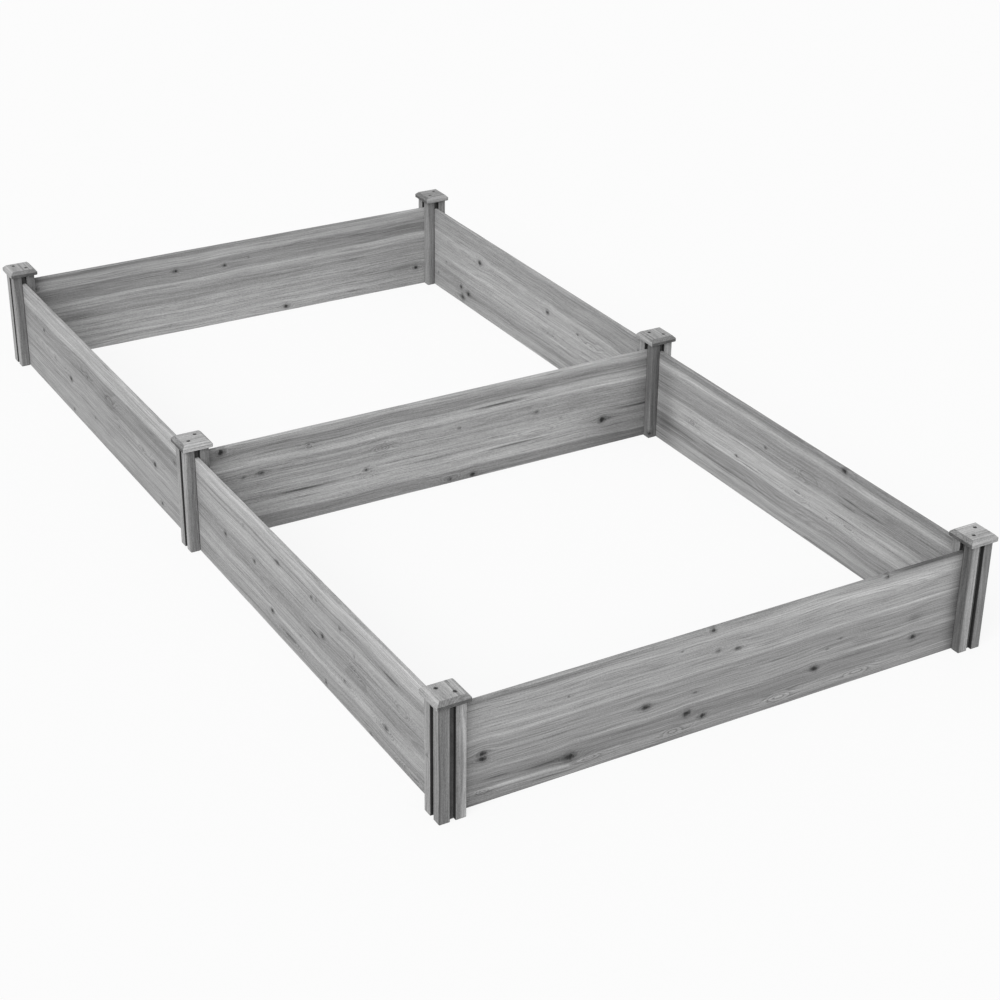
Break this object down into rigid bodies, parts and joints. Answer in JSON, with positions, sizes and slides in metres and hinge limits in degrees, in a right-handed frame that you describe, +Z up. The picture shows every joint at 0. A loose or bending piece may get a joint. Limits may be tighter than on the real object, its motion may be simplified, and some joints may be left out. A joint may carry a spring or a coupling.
{
  "type": "raised garden bed",
  "caption": "Low rectangular timber garden bed, open above and below, parted by a divider into planting bays; thin boards on edge sit in grooved posts under square screwed caps.",
  "frame": {"origin": "bottom centre of the bed's bounding box, on the ground, under the middle of the divider board", "axes": "+X to the right across the bed, +Y along the bed from its near end to its far end (its longest side), +Z up (its shortest side)"},
  "size_m": [1.228, 2.268, 0.254],
  "materials": {
    "board_wood": "grey-stained softwood, matt, lengthwise grain with knots",
    "batten_wood": "grey-stained softwood, matt, upright grain",
    "core_wood": "grey-stained softwood, matt, in the grooves",
    "cap_wood": "grey-stained softwood, matt, darker end grain",
    "screw_steel": "dark coated steel"
  },
  "bodies": {
    "root": {"near_board": "board_wood", "divider_board": "board_wood", "far_board": "board_wood", "left_near_board": "board_wood", "left_far_board": "board_wood", "right_near_board": "board_wood", "right_far_board": "board_wood", "near_left_post_batten_near_left": "batten_wood", "near_left_post_batten_near_right": "batten_wood", "near_left_post_batten_far_left": "batten_wood", "near_left_post_batten_far_right": "batten_wood", "near_left_post_core_board": "core_wood", "near_left_post_core_strips": "core_wood", "near_left_post_cap": "cap_wood", "near_left_post_cap_screws": "screw_steel", "near_right_post_batten_near_left": "batten_wood", "near_right_post_batten_near_right": "batten_wood", "near_right_post_batten_far_left": "batten_wood", "near_right_post_batten_far_right": "batten_wood", "near_right_post_core_board": "core_wood", "near_right_post_core_strips": "core_wood", "near_right_post_cap": "cap_wood", "near_right_post_cap_screws": "screw_steel", "mid_left_post_batten_near_left": "batten_wood", "mid_left_post_batten_near_right": "batten_wood", "mid_left_post_batten_far_left": "batten_wood", "mid_left_post_batten_far_right": "batten_wood", "mid_left_post_core_board": "core_wood", "mid_left_post_core_strips": "core_wood", "mid_left_post_cap": "cap_wood", "mid_left_post_cap_screws": "screw_steel", "mid_right_post_batten_near_left": "batten_wood", "mid_right_post_batten_near_right": "batten_wood", "mid_right_post_batten_far_left": "batten_wood", "mid_right_post_batten_far_right": "batten_wood", "mid_right_post_core_board": "core_wood", "mid_right_post_core_strips": "core_wood", "mid_right_post_cap": "cap_wood", "mid_right_post_cap_screws": "screw_steel", "far_left_post_batten_near_left": "batten_wood", "far_left_post_batten_near_right": "batten_wood", "far_left_post_batten_far_left": "batten_wood", "far_left_post_batten_far_right": "batten_wood", "far_left_post_core_board": "core_wood", "far_left_post_core_strips": "core_wood", "far_left_post_cap": "cap_wood", "far_left_post_cap_screws": "screw_steel", "far_right_post_batten_near_left": "batten_wood", "far_right_post_batten_near_right": "batten_wood", "far_right_post_batten_far_left": "batten_wood", "far_right_post_batten_far_right": "batten_wood", "far_right_post_core_board": "core_wood", "far_right_post_core_strips": "core_wood", "far_right_post_cap": "cap_wood", "far_right_post_cap_screws": "screw_steel"}
  },
  "joints": []
}
